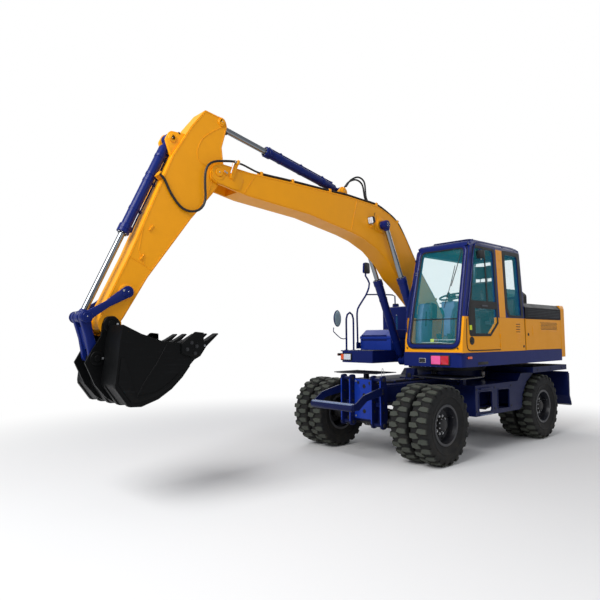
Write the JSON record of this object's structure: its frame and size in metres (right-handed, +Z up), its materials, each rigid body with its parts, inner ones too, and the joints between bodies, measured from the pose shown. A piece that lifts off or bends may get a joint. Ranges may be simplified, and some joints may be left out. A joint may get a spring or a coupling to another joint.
{
  "type": "wheeled excavator",
  "caption": "Wheeled hydraulic excavator with twin tyres, a slewing upper part with a cab, a one-piece boom, a stick, a bucket and a rear dozer blade.",
  "frame": {"origin": "middle of the bounding box at ground level", "axes": "the machine's front and its bucket face -Y, its left side with the cab faces +X, +Z is up"},
  "size_m": [2.502, 8.5478, 4.3405],
  "materials": {
    "yellow_paint": "satin",
    "navy_paint": "satin",
    "black_paint": "satin",
    "dark_iron": "matt",
    "chrome_rod": "polished",
    "tyre": "matt",
    "glazing": "clear",
    "cab_plastic": "matt",
    "seat_fabric": "woven"
  },
  "bodies": {
    "chassis": {"chassis_frame": "navy_paint", "front_mount": "navy_paint", "slew_ring": "dark_iron", "left_side_box": "navy_paint", "right_side_box": "navy_paint", "front_axle": "dark_iron", "rear_axle": "dark_iron"},
    "house": {"upper_frame": "navy_paint", "counterweight": "yellow_paint", "engine": "dark_iron", "engine_hood": "yellow_paint", "fuel_tank": "navy_paint", "tool_box": "navy_paint", "front_rail": "navy_paint", "tall_rail": "navy_paint", "cab_shell": "navy_paint", "windscreen": "glazing", "rear_glass": "glazing", "quarter_glass": "glazing", "right_glass": "glazing", "driver_seat": "seat_fabric", "seat_frame": "cab_plastic", "steering_column": "cab_plastic"},
    "left_knuckle": {"left_knuckle": "dark_iron"},
    "right_knuckle": {"right_knuckle": "dark_iron"},
    "steering_rod": {"steering_rod": "dark_iron"},
    "left_front_wheel": {"left_front_outer_tyre": "tyre", "left_front_inner_tyre": "tyre", "left_front_twin_wheel": "dark_iron"},
    "left_rear_wheel": {"left_rear_outer_tyre": "tyre", "left_rear_inner_tyre": "tyre", "left_rear_twin_wheel": "dark_iron"},
    "right_front_wheel": {"right_front_outer_tyre": "tyre", "right_front_inner_tyre": "tyre", "right_front_twin_wheel": "dark_iron"},
    "right_rear_wheel": {"right_rear_outer_tyre": "tyre", "right_rear_inner_tyre": "tyre", "right_rear_twin_wheel": "dark_iron"},
    "dozer_blade": {"dozer_blade": "navy_paint"},
    "blade_cylinder": {"blade_cylinder": "navy_paint"},
    "blade_rod": {"blade_rod": "chrome_rod"},
    "boom": {"boom": "yellow_paint"},
    "boom_cylinders": {"boom_cylinders": "navy_paint"},
    "stick": {"stick": "yellow_paint", "arm_hose": "black_paint"},
    "stick_cylinder": {"stick_cylinder": "navy_paint"},
    "stick_rod": {"stick_rod": "chrome_rod"},
    "bucket": {"bucket": "black_paint"},
    "bucket_cylinder": {"bucket_cylinder": "navy_paint"},
    "bucket_rod": {"bucket_rod": "chrome_rod"},
    "tipping_lever": {"tipping_lever": "navy_paint"},
    "bucket_link": {"bucket_link": "navy_paint"},
    "left_engine_door": {"left_engine_door": "yellow_paint"},
    "right_engine_door": {"right_engine_door": "yellow_paint"},
    "tool_box_lid": {"tool_box_lid": "navy_paint"},
    "engine_bonnet": {"engine_bonnet": "black_paint"},
    "boom_rods": {"left_boom_rod": "chrome_rod", "right_boom_rod": "chrome_rod"},
    "cab_door": {"cab_door": "navy_paint", "door_glass": "glazing"}
  },
  "joints": [
    {"name": "slew", "type": "hinge", "parent": "chassis", "child": "house", "pos_m": [0.005, 2.02387, 1.266], "axis": [0, 0, 1], "continuous": true},
    {"name": "left_steer", "type": "hinge", "parent": "chassis", "child": "left_knuckle", "pos_m": [0.595, 0.06687, 0.5275], "axis": [0, 0, 1], "range_deg": [-28, 28]},
    {"name": "left_front_wheel_spin", "type": "hinge", "parent": "left_knuckle", "child": "left_front_wheel", "pos_m": [1.113, 0.06687, 0.5275], "axis": [1, 0, 0], "continuous": true},
    {"name": "left_rear_wheel_spin", "type": "hinge", "parent": "chassis", "child": "left_rear_wheel", "pos_m": [1.113, 2.94487, 0.5275], "axis": [1, 0, 0], "continuous": true},
    {"name": "right_steer", "type": "hinge", "parent": "chassis", "child": "right_knuckle", "pos_m": [-0.585, 0.06687, 0.5275], "axis": [0, 0, 1], "range_deg": [-28.1, 28.1]},
    {"name": "right_front_wheel_spin", "type": "hinge", "parent": "right_knuckle", "child": "right_front_wheel", "pos_m": [-1.103, 0.06687, 0.5275], "axis": [1, 0, 0], "continuous": true},
    {"name": "right_rear_wheel_spin", "type": "hinge", "parent": "chassis", "child": "right_rear_wheel", "pos_m": [-1.103, 2.94487, 0.5275], "axis": [1, 0, 0], "continuous": true},
    {"name": "steering_rod_slide", "type": "slide", "parent": "chassis", "child": "steering_rod", "axis": [-1, 0, 0], "range_m": [-0.1059, 0.1059]},
    {"name": "blade_lift", "type": "hinge", "parent": "chassis", "child": "dozer_blade", "pos_m": [0.005, 3.25387, 0.53], "axis": [1, 0, 0], "range_deg": [-39, 0]},
    {"name": "blade_cylinder_tilt", "type": "hinge", "parent": "chassis", "child": "blade_cylinder", "pos_m": [0.005, 3.40387, 0.95], "axis": [1, 0, 0], "range_deg": [-32.53, 0]},
    {"name": "blade_rod_slide", "type": "slide", "parent": "blade_cylinder", "child": "blade_rod", "axis": [0, 0.9385, -0.3452], "range_m": [-0.0001, 0.2933]},
    {"name": "boom_lift", "type": "hinge", "parent": "house", "child": "boom", "pos_m": [-0.125, 1.95387, 1.75], "axis": [-1, 0, 0], "range_deg": [-47, 30]},
    {"name": "boom_cylinder_tilt", "type": "hinge", "parent": "house", "child": "boom_cylinders", "pos_m": [-0.125, 1.21387, 1.295], "axis": [-1, 0, 0], "range_deg": [-49.64, 31.69]},
    {"name": "boom_rod_slide", "type": "slide", "parent": "boom_cylinders", "child": "boom_rods", "axis": [0, -0.4226, 0.9063], "range_m": [-0.6796, 0.4338]},
    {"name": "stick_swing", "type": "hinge", "parent": "boom", "child": "stick", "pos_m": [-0.125, -2.71969, 3.62592], "axis": [-1, 0, 0], "range_deg": [-54, 58]},
    {"name": "stick_cylinder_tilt", "type": "hinge", "parent": "boom", "child": "stick_cylinder", "pos_m": [-0.125, -0.52175, 3.82124], "axis": [-1, 0, 0], "range_deg": [-0.5148, 0.4793]},
    {"name": "stick_rod_slide", "type": "slide", "parent": "stick_cylinder", "child": "stick_rod", "axis": [0, -0.9798, 0.1999], "range_m": [-0.581, 0.5409]},
    {"name": "bucket_curl", "type": "hinge", "parent": "stick", "child": "bucket", "pos_m": [-0.125, -3.9729, 1.83482], "axis": [-1, 0, 0], "range_deg": [-12, 130]},
    {"name": "bucket_cylinder_tilt", "type": "hinge", "parent": "stick", "child": "bucket_cylinder", "pos_m": [-0.125, -3.29354, 3.91515], "axis": [-1, 0, 0], "range_deg": [-0.82, 8.88]},
    {"name": "bucket_rod_slide", "type": "slide", "parent": "bucket_cylinder", "child": "bucket_rod", "axis": [0, -0.4171, -0.9088], "range_m": [-0.5993, 0.0554]},
    {"name": "tipping_lever_swing", "type": "hinge", "parent": "stick", "child": "tipping_lever", "pos_m": [-0.125, -3.80569, 2.16451], "axis": [-1, 0, 0], "range_deg": [-7.89, 85.43]},
    {"name": "bucket_link_swing", "type": "hinge", "parent": "bucket", "child": "bucket_link", "pos_m": [-0.125, -4.10691, 1.49982], "axis": [-1, 0, 0], "range_deg": [-96.76, 8.93]},
    {"name": "cab_door_hinge", "type": "hinge", "parent": "house", "child": "cab_door", "pos_m": [1.259, 1.51587, 1.526], "axis": [0, 0, 1], "range_deg": [0, 160]},
    {"name": "left_engine_door_hinge", "type": "hinge", "parent": "house", "child": "left_engine_door", "pos_m": [1.253, 3.67487, 1.466], "axis": [0, 0, 1], "range_deg": [0, 110]},
    {"name": "right_engine_door_hinge", "type": "hinge", "parent": "house", "child": "right_engine_door", "pos_m": [-1.243, 3.67487, 1.466], "axis": [0, 0, -1], "range_deg": [0, 110]},
    {"name": "tool_box_lid_hinge", "type": "hinge", "parent": "house", "child": "tool_box_lid", "pos_m": [-0.865, 1.74687, 1.822], "axis": [-1, 0, 0], "range_deg": [0, 75]},
    {"name": "bonnet_hinge", "type": "hinge", "parent": "house", "child": "engine_bonnet", "pos_m": [0.305, 3.44387, 2.234], "axis": [-1, 0, 0], "range_deg": [0, 60]}
  ],
  "couplings": [
    {"joint": "right_steer", "follows": "left_steer", "ratio": 1},
    {"joint": "steering_rod_slide", "follows": "left_steer", "m_per_rad": 0.21615},
    {"joint": "blade_cylinder_tilt", "follows": "blade_lift", "ratio": 0.83236},
    {"joint": "blade_rod_slide", "follows": "blade_lift", "m_per_rad": -0.42983},
    {"joint": "boom_cylinder_tilt", "follows": "boom_lift", "ratio": 1.0541},
    {"joint": "boom_rod_slide", "follows": "boom_lift", "m_per_rad": 0.82664},
    {"joint": "stick_cylinder_tilt", "follows": "stick_swing", "ratio": -0.00886},
    {"joint": "stick_rod_slide", "follows": "stick_swing", "m_per_rad": -0.57271},
    {"joint": "bucket_cylinder_tilt", "follows": "bucket_curl", "ratio": 0.06814},
    {"joint": "bucket_rod_slide", "follows": "bucket_curl", "m_per_rad": -0.26354},
    {"joint": "tipping_lever_swing", "follows": "bucket_curl", "ratio": 0.65586},
    {"joint": "bucket_link_swing", "follows": "bucket_curl", "ratio": -0.74281}
  ]
}
